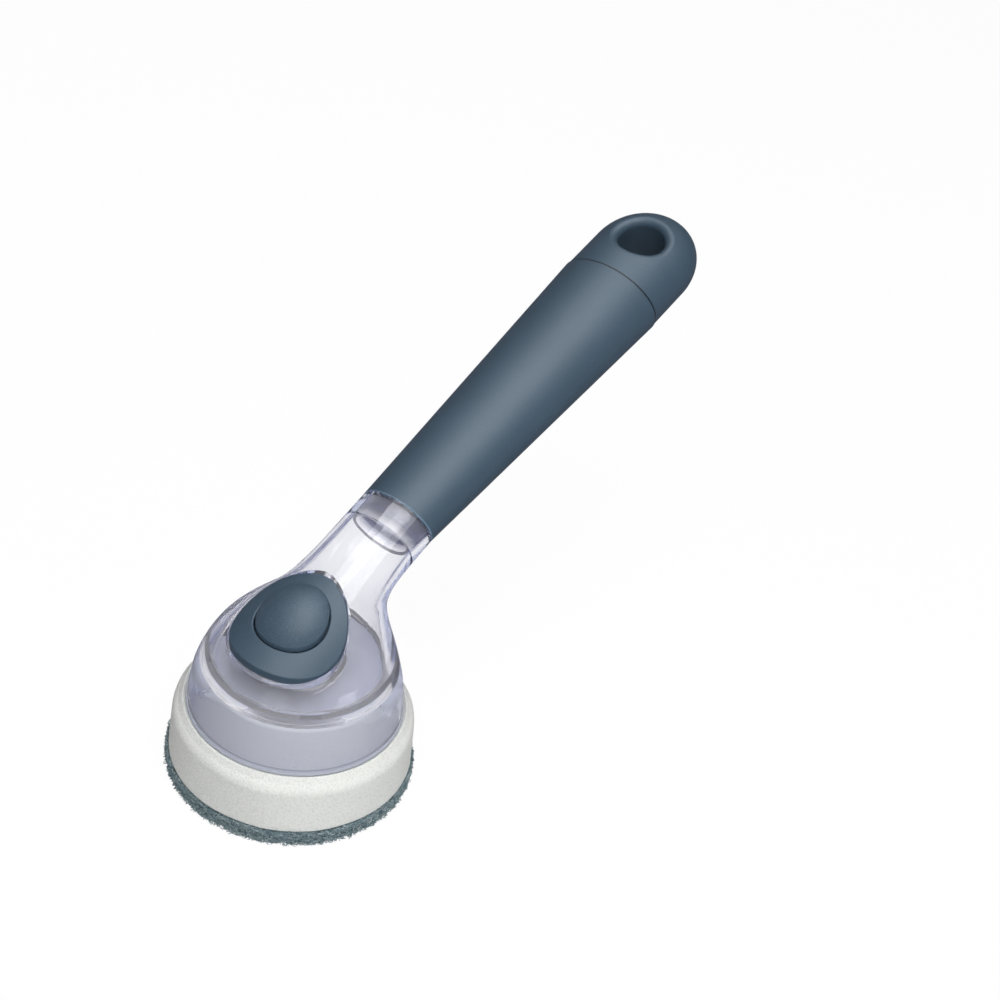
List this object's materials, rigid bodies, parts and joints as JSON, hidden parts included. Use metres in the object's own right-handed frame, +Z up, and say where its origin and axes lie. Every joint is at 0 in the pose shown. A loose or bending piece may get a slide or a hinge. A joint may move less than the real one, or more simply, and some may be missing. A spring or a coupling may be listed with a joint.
{
  "type": "dish wand",
  "caption": "Soap-dispensing dish wand: sponge refill under a clear moulded head, press button that opens a soap valve, hollow oval handle and a pull-off cap with a hanging hole.",
  "frame": {"origin": "centre of the scrub pad's underside", "axes": "+Z up the round head's axis, away from the scrub face; +X towards the handle, which rises from the head; Y across, with the middle plane at Y = 0"},
  "size_m": [0.2214, 0.075, 0.1254],
  "materials": {
    "clear_shell": "clear moulded plastic, polished",
    "slate_plastic": "slate grey-blue, satin moulded",
    "pale_plastic": "pale bluish grey, smooth",
    "natural_plastic": "uncoloured moulded plastic",
    "foam": "off-white fine-pored cellulose foam",
    "scourer": "dark teal-grey non-woven fibre",
    "seal_rubber": "soft pale silicone for seals",
    "spring_steel": "stainless wire"
  },
  "bodies": {
    "wand": {"head_shell": "clear_shell", "chamber_floor": "clear_shell", "handle_tube": "slate_plastic", "neck_coupler": "clear_shell", "neck_seal": "seal_rubber", "button_housing": "slate_plastic", "housing_gasket": "seal_rubber", "rod_seal": "seal_rubber", "return_spring": "spring_steel"},
    "button": {"button_cap": "slate_plastic", "plunger_rod": "natural_plastic", "valve_stopper": "seal_rubber"},
    "cap": {"end_cap": "slate_plastic", "cap_seal": "seal_rubber"},
    "refill": {"sponge_holder": "pale_plastic", "sponge_foam": "foam", "scouring_pad": "scourer"}
  },
  "joints": [
    {"name": "button_press", "type": "slide", "parent": "wand", "child": "button", "axis": [0, 0, -1], "range_m": [0, 0.0025], "stiffness_N_per_m": 1200, "springref_m": -0.001, "deforming": ["return_spring"]},
    {"name": "cap_pull", "type": "slide", "parent": "wand", "child": "cap", "axis": [0.9494, 0, 0.314], "range_m": [0, 0.03]},
    {"name": "refill_pull", "type": "slide", "parent": "wand", "child": "refill", "axis": [0, 0, -1], "range_m": [0, 0.03]}
  ]
}
